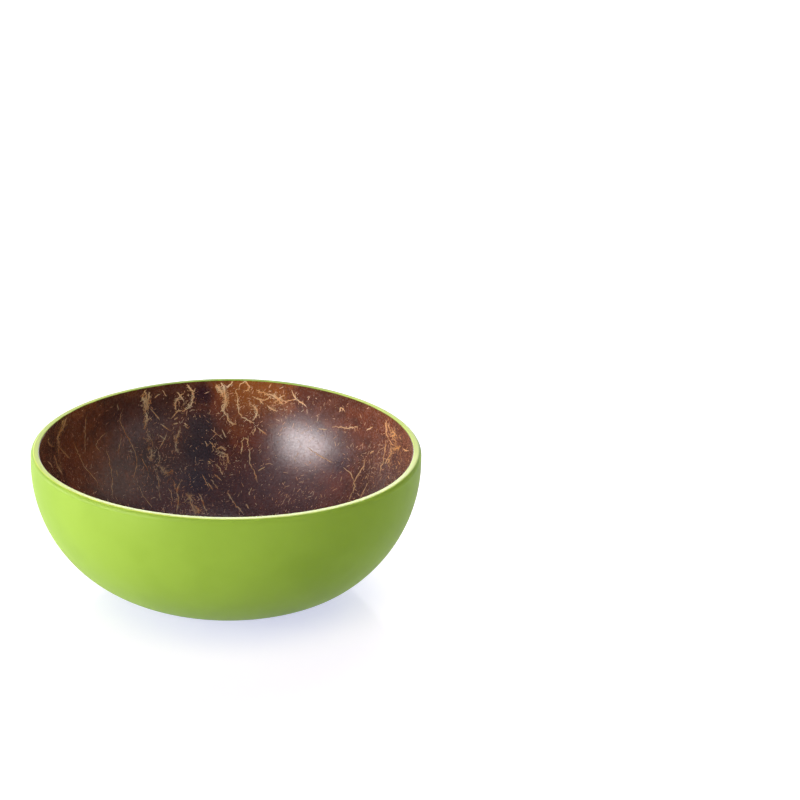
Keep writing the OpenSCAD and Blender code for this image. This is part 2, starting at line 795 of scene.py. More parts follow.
class Loom(Graph):
    """A Geometry Nodes tree with named inputs, which ends in plain faces with a finish on them."""

    # Places of the sockets that a Random Value node uses for plain numbers
    least, most, number = 2, 3, 1

    def __init__(self, name: str, *labels: str) -> None:
        """Starts the tree and its inputs.

        Args:
            name: Name of the tree.
            labels: Names of the inputs that take a number, besides the base, the seed and the finish.
        """
        super().__init__(bpy.data.node_groups.new(name, "GeometryNodeTree"))
        face = self.tree.interface
        kinds = {"Base": "Geometry", **dict.fromkeys(labels, "Float"), "Seed": "Int", "Finish": "Material"}
        self.keys = {
            label: face.new_socket(label, in_out="INPUT", socket_type="NodeSocket" + kind).identifier
            for label, kind in kinds.items()
        }
        face.new_socket("Pieces", in_out="OUTPUT", socket_type="NodeSocketGeometry")
        self.source = self.node("NodeGroupInput")

    def given(self, label: str) -> Wire:
        """One of the tree's named inputs."""
        return Wire(self, self.source.outputs[label])

    def held(self, name: str, kind: str = "FLOAT") -> Wire:
        """A value held in the base mesh."""
        return self.wire("GeometryNodeInputNamedAttribute", {"data_type": kind}, {"Name": name})

    def chance(self, low: float, high: float, shift: int) -> Wire:
        """A random number for each point.

        Args:
            low: Least value.
            high: Greatest value.
            shift: Added to the tree's seed, so that each use has its own numbers.

        Returns:
            The number.
        """
        sockets = {self.least: low, self.most: high, "Seed": self.given("Seed") + shift}
        return self.wire("FunctionNodeRandomValue", {"data_type": "FLOAT"}, sockets, self.number)

    def vector(self, x: Value, y: Value, z: Value) -> Wire:
        """Three values as one vector."""
        return self.wire("ShaderNodeCombineXYZ", None, {0: x, 1: y, 2: z})

    def spun(self, along: Wire, away: Wire, angle: Wire) -> Wire:
        """A turn whose X runs along a surface at an angle to a direction.

        Args:
            along: The direction.
            away: The surface's normal, which becomes Z.
            angle: Angle about the normal.

        Returns:
            The turn.
        """
        settings = {"primary_axis": "Z", "secondary_axis": "X"}
        axes = {"Primary Axis": away, "Secondary Axis": along}
        base = self.wire("FunctionNodeAxesToRotation", settings, axes)
        about = {"Axis": (0.0, 0.0, 1.0), "Angle": angle}
        turns = {"Rotation": base, "Rotate By": self.wire("FunctionNodeAxisAngleToRotation", None, about)}
        return self.wire("FunctionNodeRotateRotation", {"rotation_space": "LOCAL"}, turns)

    def slivers(
        self, points: Wire, turn: Wire, length: Wire, width: Wire, start: float = 0.0, chosen: Value = True
    ) -> Wire:
        """Sets a flat spindle at each point.

        Args:
            points: The points.
            turn: How each spindle is turned.
            length: Half its length.
            width: Half its width.
            start: How far its middle lies ahead of the point, in half lengths.
            chosen: Above 0 at the points that carry one.

        Returns:
            The spindles.
        """
        ball = self.wire("GeometryNodeMeshUVSphere", None, {"Segments": 5, "Rings": 3, "Radius": 1.0})
        laid = {"Geometry": ball, "Rotation": (0.0, math.pi / 2, 0.0), "Translation": (start, 0.0, 0.0)}
        sockets = {
            "Points": points,
            "Selection": chosen,
            "Instance": self.wire("GeometryNodeTransform", None, laid),
            "Rotation": turn,
            "Scale": self.vector(length, width, width * self.given("Flatness")),
        }
        return self.wire("GeometryNodeInstanceOnPoints", None, sockets)

    def close(self, *shapes: Wire) -> None:
        """Joins the shapes into plain faces, gives them the finish and ends the tree."""
        joined = self.node("GeometryNodeJoinGeometry")
        for shape in shapes:
            self.tree.links.new(shape.socket, joined.inputs[0])
        whole = Wire(self, joined.outputs[0])
        plain = self.wire("GeometryNodeRealizeInstances", None, {"Geometry": whole})
        finish = {"Geometry": plain, "Material": self.given("Finish")}
        dressed = self.wire("GeometryNodeSetMaterial", None, finish)
        self.node("NodeGroupOutput", None, {"Pieces": dressed})

    def grow(self, name: str, base: bpy.types.Mesh, values: Mapping[str, Any]) -> bpy.types.Mesh:
        """Runs the tree on a base mesh.

        Args:
            name: Name of the new mesh.
            base: The mesh that the tree starts from.
            values: A value for each named input.

        Returns:
            The result as a plain mesh.
        """
        bed = stand(name + "_bed", base)
        modifier = bed.modifiers.new(name, "NODES")
        modifier.node_group = self.tree
        for label, value in values.items():
            modifier[self.keys[label]] = value
        grown = bpy.data.meshes.new_from_object(bed.evaluated_get(bpy.context.evaluated_depsgraph_get()))
        grown.name = name
        bed.modifiers.remove(modifier)
        bpy.data.objects.remove(bed)
        return grown


class StrandTree(Loom):
    """Turns routes on the wall into flat fibres, with torn ends and loose bits along some of them."""

    def __init__(self) -> None:
        """Builds the tree."""
        spikes = ("Spike Spacing", "Spike Length", "Spike Width")
        bits = ("Bit Spacing", "Bit Length", "Bit Width")
        super().__init__("fibre_strands", "Flatness", "Wall Bend", *spikes, *bits)
        self.away = self.held("wall_way", "FLOAT_VECTOR")
        curve = self.wire("GeometryNodeMeshToCurve", None, {"Mesh": self.given("Base")})
        facing = {"Curve": curve, "Normal": self.away}
        curve = self.wire("GeometryNodeSetCurveNormal", {"mode": "FREE"}, facing)
        round_cut = self.wire("GeometryNodeCurvePrimitiveCircle", None, {"Resolution": 6, "Radius": 1.0})
        squash = self.vector(self.given("Flatness"), 1.0, 1.0)
        flat_cut = self.wire("GeometryNodeTransform", None, {"Geometry": round_cut, "Scale": squash})
        cut = {"Curve": curve, "Profile Curve": flat_cut, "Scale": self.held("half_width"), "Fill Caps": True}
        strands = self.wire("GeometryNodeCurveToMesh", None, cut)
        self.close(strands, self.torn_ends(curve), self.loose_bits(curve))

    def along(self, curve: Wire, spacing: str) -> tuple[Wire, Wire]:
        """Points along the routes at a spacing, and the direction of the route at each."""
        sockets = {"Curve": curve, "Length": self.given(spacing)}
        node = self.node("GeometryNodeCurveToPoints", {"mode": "LENGTH"}, sockets)
        return Wire(self, node.outputs["Points"]), Wire(self, node.outputs["Tangent"])

    def torn_ends(self, curve: Wire) -> Wire:
        """Short ends that stick out sideways from a fibre."""
        points, tangent = self.along(curve, "Spike Spacing")
        turn = self.spun(tangent, self.away, self.chance(-1.5, 1.5, 1))
        length = self.given("Spike Length") * self.chance(0.3, 1.0, 2) * self.held("spike_reach")
        width = self.given("Spike Width") * self.chance(0.5, 1.0, 3)
        chosen = self.held("spikes") - self.chance(0.0, 1.0, 4)
        return self.slivers(points, turn, length, width, 0.8, chosen)

    def loose_bits(self, curve: Wire) -> Wire:
        """Bits of fibre strewn to either side of a frayed one."""
        points, tangent = self.along(curve, "Bit Spacing")
        sideways = self.vectors("CROSS_PRODUCT", {0: tangent, 1: self.away})
        drift = (self.chance(-0.5, 0.5, 5) + self.chance(-0.5, 0.5, 6)) * self.held("frayed")
        aside = self.vectors("SCALE", {0: sideways, "Scale": drift})
        rise = drift * drift * self.given("Wall Bend") * 0.5
        upward = self.vectors("SCALE", {0: self.away, "Scale": rise})
        moved = {"Geometry": points, "Offset": self.vectors("ADD", {0: aside, 1: upward})}
        strewn = self.wire("GeometryNodeSetPosition", None, moved)
        angle = self.chance(-1.1, 1.1, 7) + self.chance(-0.7, 0.7, 8)
        length = self.given("Bit Length") * self.chance(0.25, 1.0, 9) ** 2.0
        width = self.given("Bit Width") * self.chance(0.4, 1.0, 10)
        chosen = self.held("bits") - self.chance(0.0, 1.0, 11)
        return self.slivers(strewn, self.spun(tangent, self.away, angle), length, width, 0.0, chosen)


class FleckTree(Loom):
    """Scatters short flecks of fibre over the wall, most of them running up it."""

    def __init__(self) -> None:
        """Builds the tree."""
        super().__init__("wall_flecks", "Density", "Shortest", "Longest", "Width", "Flatness")
        spread = {
            "Mesh": self.given("Base"),
            "Density": self.given("Density") * self.held("flecks"),
            "Seed": self.given("Seed"),
        }
        settings = {"distribute_method": "RANDOM"}
        node = self.node("GeometryNodeDistributePointsOnFaces", settings, spread)
        points, away = Wire(self, node.outputs["Points"]), Wire(self, node.outputs["Normal"])
        angle = 0.55 + self.chance(-1.0, 1.0, 1) + self.chance(-0.6, 0.6, 2)
        shortest, size = self.given("Shortest"), self.chance(0.0, 1.0, 3)
        length = shortest + (self.given("Longest") - shortest) * size**3.5
        width = self.given("Width") * self.chance(0.45, 1.0, 4)
        turn = self.spun(self.vector(0.0, 0.0, 1.0), away, angle)
        self.close(self.slivers(points, turn, length * 0.5, width * 0.5))


# The wall and its fibres


@dataclass(frozen=True)
class Spot:
    """A patch of the wall, by the pixel of its middle, how far it spreads and how strong it is."""

    pixel: Pixel
    spread: float
    weight: float = 1.0


class Tone(Enum):
    """The shades that lie over the brown of the shell, each with its patches."""

    WARM = (
        Spot((75, 462), 11 * MM, 0.8),
        Spot((87, 417), 9 * MM, 0.6),
        Spot((225, 405), 9 * MM, 0.8),
        Spot((243, 432), 8 * MM, 0.8),
        Spot((352, 440), 10 * MM, 0.55),
        Spot((213, 438), 5 * MM, 0.4),
        Spot((337, 478), 9 * MM, 0.6),
        Spot((150, 470), 8 * MM, 0.4),
        Spot((392, 440), 10 * MM, 0.3),
        Spot((290, 395), 12 * MM, 0.6),
    )
    GLOW = (
        Spot((245, 394), 9 * MM, 1.0),
        Spot((270, 392), 9 * MM, 0.9),
        Spot((220, 388), 5 * MM, 0.7),
        Spot((236, 425), 6 * MM, 0.6),
        Spot((398, 444), 7 * MM, 0.2),
        Spot((60, 435), 5 * MM, 0.5),
        Spot((86, 448), 16 * MM, 0.7),
        Spot((120, 470), 10 * MM, 0.5),
        Spot((62, 458), 8 * MM, 0.4),
        Spot((155, 482), 12 * MM, 0.3),
        Spot((215, 498), 10 * MM, 0.3),
    )
    DUSK = (
        Spot((200, 450), 6 * MM, 1.0),
        Spot((201, 425), 5 * MM, 1.0),
        Spot((199, 480), 6 * MM, 0.8),
        Spot((203, 395), 4 * MM, 0.9),
        Spot((112, 424), 7 * MM, 0.3),
        Spot((155, 418), 7 * MM, 0.6),
        Spot((178, 465), 6 * MM, 0.25),
        Spot((341, 463), 5 * MM, 0.6),
        Spot((245, 480), 8 * MM, 0.4),
    )


STAINED: tuple[Spot, ...] = (
    Spot((395, 440), 12 * MM, 1.0),
    Spot((375, 470), 12 * MM, 0.8),
    Spot((345, 440), 14 * MM, 0.6),
    Spot((275, 395), 10 * MM, 0.4),
    Spot((60, 445), 10 * MM, 0.8),
)

FLECKED: tuple[Spot, ...] = (
    Spot((218, 456), 7 * MM, 1.0),
    Spot((165, 468), 9 * MM, 1.0),
    Spot((168, 436), 6 * MM, 0.7),
    Spot((222, 470), 6 * MM, 0.8),
    Spot((190, 500), 7 * MM, 1.0),
    Spot((300, 492), 9 * MM, 0.4),
    Spot((235, 402), 8 * MM, 0.8),
    Spot((280, 400), 8 * MM, 0.6),
    Spot((395, 445), 9 * MM, 0.8),
    Spot((370, 470), 8 * MM, 0.5),
    Spot((60, 455), 9 * MM, 0.4),
    Spot((190, 400), 7 * MM, 0.6),
    Spot((150, 445), 6 * MM, 0.6),
)


@dataclass(frozen=True)
class FibreKind:
    """How a fibre lies on the wall.

    It has a width at its middle, a waver off its route in pixels, the share of places along it with a torn
    end, how far loose bits lie to either side of it, and the share of places along it with such a bit.
    """

    width: float
    waver: float
    torn: float = 0.0
    frayed: float = 0.0
    bits: float = 0.0


THREAD = FibreKind(0.38 * MM, 0.4)
STICK = FibreKind(0.48 * MM, 0.1)
VEIN = FibreKind(0.46 * MM, 0.45, 0.35, 0.6 * MM, 0.1)
STRIP = FibreKind(0.46 * MM, 0.45, 0.7, 0.9 * MM, 0.5)
TUFT = FibreKind(0.5 * MM, 0.6, 0.9, 1.6 * MM, 1.0)
FRAY = FibreKind(0.10 * MM, 0.6, 0.3, 2.8 * MM, 0.5)

Route = tuple[FibreKind, tuple[Pixel, ...]]

LEFT_ROUTES: dict[str, Route] = {
    "rim_tuft": (TUFT, ((67, 418), (62, 429), (58, 437), (59, 447))),
    "rim_fray": (FRAY, ((64, 420), (58, 440), (60, 462), (62, 474))),
    "rim_tuft_fork": (VEIN, ((59, 447), (63, 452), (70, 459))),
    "rim_tuft_tail": (STRIP, ((54, 455), (57, 464), (62, 474))),
    "rim_hook": (VEIN, ((49, 440), (50, 445), (54, 447))),
    "rim_stub": (VEIN, ((48, 461), (53, 468))),
    "plumb_thread": (THREAD, ((86, 417), (85, 429), (85, 455))),
    "vee": (THREAD, ((107, 432), (96, 443), (101, 453))),
    "long_wave": (
        THREAD,
        (
            *((123, 408), (120, 418), (123, 428), (128, 439), (135, 452)),
            *((137, 461), (136, 468), (134, 477), (135, 485)),
        ),
    ),
    "wave_top": (THREAD, ((118, 404), (118, 409))),
    "slant": (THREAD, ((73, 441), (78, 453), (82, 460), (87, 470), (96, 481), (100, 488))),
    "drop": (THREAD, ((106, 449), (110, 464), (112, 478), (112, 493), (114, 499))),
    "drop_beside": (THREAD, ((116, 469), (118, 477))),
    "faint_high": (THREAD, ((121, 436), (118, 453))),
    "faint_low": (THREAD, ((141, 457), (149, 472))),
    "foot": (THREAD, ((155, 469), (159, 481), (159, 490), (161, 501))),
    "foot_slant": (THREAD, ((139, 485), (143, 495), (152, 508))),
}

MIDDLE_ROUTES: dict[str, Route] = {
    "big_tuft": (TUFT, ((145, 391), (147, 403), (145, 412), (147, 419), (144, 429))),
    "patch_fray": (FRAY, ((147, 430), (150, 450), (152, 462))),
    "wiggle_fray": (FRAY, ((156, 464), (167, 472))),
    "chain_fray": (FRAY, ((189, 386), (192, 396), (186, 408), (176, 412))),
    "low_fray": (FRAY, ((188, 492), (193, 504), (197, 513))),
    "top_fray": (FRAY, ((216, 384), (224, 394), (224, 408))),
    "cluster_fray": (FRAY, ((212, 444), (222, 456), (226, 470))),
    "net_fray": (FRAY, ((258, 392), (272, 396), (288, 402))),
    "big_tuft_left": (TUFT, ((143, 393), (144, 402), (146, 412))),
    "big_tuft_right": (TUFT, ((149, 392), (148, 401), (147, 410))),
    "big_tuft_twig": (VEIN, ((147, 419), (152, 421))),
    "slant_high": (STICK, ((150, 408), (160, 420))),
    "slant_low": (STICK, ((161, 424), (170, 431))),
    "hair_left": (THREAD, ((154, 398), (160, 394))),
    "hair_right": (THREAD, ((162, 390), (167, 396))),
    "star_down": (VEIN, ((177, 392), (180, 396), (183, 401))),
    "star_up": (VEIN, ((184, 393), (180, 396), (176, 399))),
    "star_foot": (STRIP, ((178, 398), (175, 404), (176, 410))),
    "star_stick": (STICK, ((179, 410), (171, 419))),
    "side_stick": (STICK, ((182, 412), (190, 407))),
    "clump_chain": (STRIP, ((187, 386), (191, 389), (193, 395), (192, 402), (189, 407))),
    "short_hair": (THREAD, ((183, 426), (189, 429))),
    "strip": (STRIP, ((180, 429), (177, 438), (176, 447), (179, 454))),
    "leaning_stick": (STICK, ((167, 434), (162, 444), (158, 450))),
    "vee_stick": (STICK, ((159, 435), (166, 440))),
    "high_dash": (STICK, ((174, 420), (178, 417))),
    "high_dash_low": (STICK, ((173, 424), (178, 423))),
    "paired_dash": (STICK, ((184, 423), (188, 426))),
    "bent_stick": (STICK, ((148, 435), (152, 441), (153, 448))),
    "patch": (TUFT, ((151, 450), (151, 461))),
    "patch_side": (VEIN, ((158, 454), (160, 459), (158, 464))),
    "wiggle": (TUFT, ((160, 468), (166, 473), (173, 471))),
    "low_wander": (VEIN, ((182, 480), (178, 487), (177, 495), (179, 498), (177, 508), (177, 513))),
    "low_star": (STRIP, ((185, 493), (189, 497), (191, 504), (196, 513))),
    "low_star_arm": (VEIN, ((194, 494), (189, 497), (184, 503))),
    "low_patch": (TUFT, ((196, 506), (199, 513))),
    "low_stick": (VEIN, ((199, 493), (203, 503), (207, 513))),
    "vein_tuft": (TUFT, ((222, 383), (225, 392), (226, 403), (222, 410))),
    "vein_tuft_beside": (TUFT, ((217, 385), (221, 391), (224, 397))),
    "vein_tuft_low": (STRIP, ((227, 414), (229, 421), (236, 425))),
    "vein_tuft_top": (VEIN, ((234, 380), (227, 388))),
    "vein_jag": (VEIN, ((225, 396), (225, 403), (222, 407), (225, 412), (228, 417))),
    "fork": (VEIN, ((240, 389), (236, 390), (238, 399), (238, 408), (241, 416), (250, 421), (256, 426))),
    "fork_loop": (VEIN, ((240, 388), (241, 384), (245, 382), (249, 386), (248, 390), (244, 391))),
    "fork_branch": (STRIP, ((250, 404), (256, 409), (257, 413), (253, 421))),
    "fork_stick": (STICK, ((257, 427), (267, 435))),
    "fork_tail": (THREAD, ((256, 428), (253, 435))),
    "knot_high": (VEIN, ((248, 437), (248, 445))),
    "knot_low": (VEIN, ((242, 442), (242, 447), (241, 454))),
    "knot_arm": (VEIN, ((240, 442), (245, 438), (249, 441))),
    "long_thread": (THREAD, ((250, 447), (250, 462), (254, 471), (258, 483))),
    "bright_stick": (STICK, ((258, 471), (265, 467))),
    "thin_low": (THREAD, ((252, 487), (249, 495))),
    "short_low": (STICK, ((246, 504), (249, 509))),
    "cross_stick": (STICK, ((212, 430), (223, 439))),
    "cross_stick_right": (STICK, ((222, 429), (226, 438))),
    "pair_left": (STICK, ((205, 441), (208, 446))),
    "pair_right": (STICK, ((209, 441), (214, 446))),
    "cluster_high": (STRIP, ((217, 449), (222, 447), (225, 450))),
    "cluster_low": (STRIP, ((221, 452), (227, 456), (229, 463))),
    "dash": (STICK, ((208, 461), (211, 464))),
    "crook": (VEIN, ((215, 464), (219, 467), (223, 475))),
    "thick_stick": (STICK, ((214, 474), (222, 481))),
    "side_slant": (STICK, ((202, 474), (209, 488))),
    "side_slant_low": (THREAD, ((207, 482), (213, 490))),
    "side_slant_right": (THREAD, ((211, 479), (218, 489))),
    "low_vein": (THREAD, ((169, 488), (171, 494), (172, 502))),
    "low_vein_left": (THREAD, ((172, 478), (175, 486), (178, 493))),
    "low_sweep": (VEIN, ((227, 491), (232, 500), (238, 508), (244, 514))),
    "net": (VEIN, ((256, 390), (267, 394), (276, 397), (280, 399), (285, 401))),
    "net_left": (VEIN, ((252, 396), (258, 399), (266, 400), (271, 396))),
    "net_knot": (STRIP, ((273, 394), (277, 399), (283, 404))),
    "net_knot_arm": (VEIN, ((284, 395), (279, 399), (274, 403))),
    "star_arm_up": (VEIN, ((296, 399), (292, 391))),
    "star_arm_left": (VEIN, ((296, 399), (287, 401))),
    "star_arm_right": (VEIN, ((296, 399), (302, 403), (307, 407))),
    "clump": (STRIP, ((268, 406), (272, 409), (277, 411))),
    "rim_dash": (STICK, ((271, 384), (269, 388))),
    "small_star": (VEIN, ((259, 399), (261, 401), (263, 404))),
}

RIGHT_ROUTES: dict[str, Route] = {
    "level": (VEIN, ((332, 427), (340, 427), (347, 428), (358, 427))),
    "level_end": (THREAD, ((366, 430), (373, 427))),
    "level_start": (THREAD, ((318, 429), (327, 429))),
    "hook": (VEIN, ((339, 412), (341, 408), (344, 411))),
    "sheen_stick": (THREAD, ((307, 447), (320, 456), (333, 463))),
    "fork": (VEIN, ((365, 458), (364, 464), (356, 478), (354, 482), (355, 486), (348, 501))),
    "fork_branch": (THREAD, ((343, 468), (350, 473), (354, 481))),
    "leaning_stick": (STICK, ((368, 483), (360, 498))),
    "gold_vein": (STRIP, ((386, 420), (386, 429), (387, 434), (388, 438))),
    "gold_vein_low": (THREAD, ((388, 438), (390, 441), (393, 445), (398, 447))),
    "gold_fray": (FRAY, ((388, 424), (393, 436), (399, 450))),
    "gold_fray_low": (FRAY, ((392, 448), (391, 458), (388, 466))),
    "gold_strand_left": (THREAD, ((391, 427), (393, 432), (396, 435), (398, 440))),
    "gold_strand_middle": (THREAD, ((394, 428), (395, 433), (393, 438), (397, 443))),
    "gold_strand_right": (THREAD, ((400, 433), (400, 437), (401, 441))),
    "gold_cross_high": (THREAD, ((391, 433), (396, 430))),
    "gold_cross_low": (THREAD, ((390, 437), (396, 435))),
    "gold_knot": (THREAD, ((389, 443), (391, 446), (391, 450), (391, 454), (387, 460), (385, 464))),
    "gold_knot_arm": (STRIP, ((391, 448), (396, 449), (400, 446))),
    "gold_loop": (THREAD, ((403, 449), (406, 451), (409, 451))),
    "gold_loop_arm": (THREAD, ((404, 452), (408, 447))),
    "gold_mesh": (THREAD, ((384, 458), (387, 460), (390, 460), (387, 464))),
    "gold_tail": (STICK, ((398, 461), (400, 465))),
    "gold_dash": (STICK, ((397, 466), (396, 469))),
    "gold_dash_low": (STICK, ((388, 475), (389, 479))),
    "dot_left": (STICK, ((356, 448), (358, 446))),
    "dot_right": (STICK, ((370, 453), (374, 451))),
    "short_stick": (STICK, ((365, 479), (367, 476))),
    "short_stick_low": (STICK, ((374, 487), (375, 485))),
    "long_line": (VEIN, ((386, 440), (383, 461), (379, 475))),
    "line_dash": (STICK, ((387, 459), (385, 464))),
}


class HollowWall:
    """The varnished face of the hollow, on which the fibres lie and the tones are placed."""

    inside = Vector((0.0, 0.0, 40.0 * MM))

    def __init__(self, form: NutForm, sight: Sight) -> None:
        """Builds the face for casting on.

        Args:
            form: The nut's form.
            sight: The viewpoint whose pixels the routes are held in.
        """
        self.form = form
        self.sight = sight
        self.top = form.rim_h - form.ground_top
        points, faces = form.skin(form.hollow(form.lining_t, self.top))
        self.points, self.faces = points, faces
        self.tree = BVHTree.FromPolygons([Vector(point) for point in points], faces)

    def under(self, pixel: Pixel) -> tuple[Vector, Vector] | None:
        """Finds the place on the wall that a pixel shows.

        Args:
            pixel: The pixel.

        Returns:
            The place and the direction away from the wall, or nothing where the pixel shows none of it.
        """
        start, way = self.sight.ray(pixel)
        place, normal, _, _ = self.tree.ray_cast(start, way)
        if place is None:
            return None
        return place, self.away(place, normal)

    def nearest(self, point: Vector) -> tuple[Vector, Vector]:
        """The wall's nearest place to a point, and the direction away from the wall there."""
        place, normal, _, _ = self.tree.find_nearest(point)
        return place, self.away(place, normal)

    def away(self, place: Vector, normal: Vector) -> Vector:
        """The face's normal, turned into the hollow."""
        return normal if normal.dot(self.inside - place) > 0 else -normal

    def patches(self, spots: Iterable[Spot], points: np.ndarray) -> np.ndarray:
        """How strongly patches of the wall lie over each of some points.

        Args:
            spots: The patches.
            points: The points, one to a row.

        Returns:
            One weight for each point, from 0 to 1. The other side of the wall takes the same patches.
        """
        weight = np.zeros(len(points))
        for spot in spots:
            found = self.under(spot.pixel)
            if found is None:
                continue
            for turn in (0.0, math.pi):
                middle = np.array(Matrix.Rotation(turn, 3, "Z") @ found[0])
                away = np.linalg.norm(points - middle, axis=1) / spot.spread
                weight = np.maximum(weight, spot.weight * np.exp(-0.5 * away**2))
        return weight


@dataclass
class Bowl:
    """The shell and the coats on it, as closed skins lofted over the nut's form."""

    form: NutForm
    wall: HollowWall
    lip_r: float = 0.12 * MM
    lip_loops: int = 12
    lining_w: float = 0.3 * MM
    rub: float = 0.01 * MM
    pieces: list[bpy.types.Object] = field(default_factory=list)

    def add(self, name: str, mesh: bpy.types.Mesh, slot: str, *nodes: str) -> None:
        """Adds one piece to the scene and ties it to the part.

        Args:
            name: Name of the piece.
            mesh: Its mesh, with its finish.
            slot: The record's material slot; not used.
            nodes: Nodes of the part that it stands for.
        """
        piece = stand(name, mesh)
        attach(piece, ROOT_BODY)
        if nodes:
            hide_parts(*nodes)
        self.pieces.append(piece)

    def build_shell(self, finish: ShellFinish) -> None:
        """Builds the bare shell with its varnished hollow."""
        form = self.form
        back = form.hollow_section(form.rim_h) + self.lining_w
        rings = form.hollow(form.lining_t, self.wall.top)
        rings += [Ring(back, self.wall.top), Ring(back, form.rim_h - form.coats_t)]
        rings += form.outside(form.coats_t)[::-1]
        mesh = form.loft("shell_wall", rings)
        self.hold_tones(mesh)
        mesh.materials.append(finish.material())
        self.add("shell_wall", mesh, "shell", "coconut_shell", "inner_varnish")

    def hold_tones(self, mesh: bpy.types.Mesh) -> None:
        """Holds the tones and the run of the grain in a mesh of the shell."""
        points = np.array([vertex.co for vertex in mesh.vertices])
        for tone in Tone:
            hold(mesh, tone.name.lower(), self.wall.patches(tone.value, points))
        turn = np.arctan2(points[:, 1], points[:, 0])
        reach = np.hypot(points[:, 0], points[:, 1])
        drop = np.arctan2(reach, self.form.rim_h - points[:, 2])
        half = self.form.half_w
        hold(mesh, "grain", np.stack((half * np.cos(turn), half * np.sin(turn), half * drop), axis=1))

    def build_ground(self, finish: GroundFinish) -> None:
        """Builds the filler between the shell and the lacquer."""
        form = self.form
        edge = form.hollow_section(form.rim_h) + self.lining_w + form.layer_gap
        rings = form.outside(form.ground_top)
        rings += [Ring(edge, form.rim_h - form.ground_top), Ring(edge, form.rim_h - form.ground_under)]
        rings += form.outside(form.ground_under)[::-1]
        mesh = form.loft("ground_layer", rings)
        mesh.materials.append(finish.material())
        self.add("ground_layer", mesh, "ground", "ground_coat")

    def build_lacquer(self, finish: LacquerFinish) -> None:
        """Builds the lacquer, which ends in a soft lip at the rim's inner edge."""
        form = self.form
        top, foot = form.rim_h - self.rub, form.rim_h - form.lacquer_t
        edge = form.hollow_section(form.rim_h)
        rings = form.outside(self.rub)
        for angle in np.linspace(math.pi, 1.5 * math.pi, self.lip_loops):
            way = self.lip_r * (1 + math.sin(angle)), self.lip_r * (1 + math.cos(angle))
            rings.append(Ring(edge + way[0], top - way[1]))
        rings.append(Ring(form.hollow_section(foot), foot))
        rings += form.outside(form.lacquer_t)[::-1]
        mesh = form.loft("lacquer_skin", rings)
        mesh.materials.append(finish.material())
        self.add("lacquer_skin", mesh, "lacquer", "lacquer_coat")


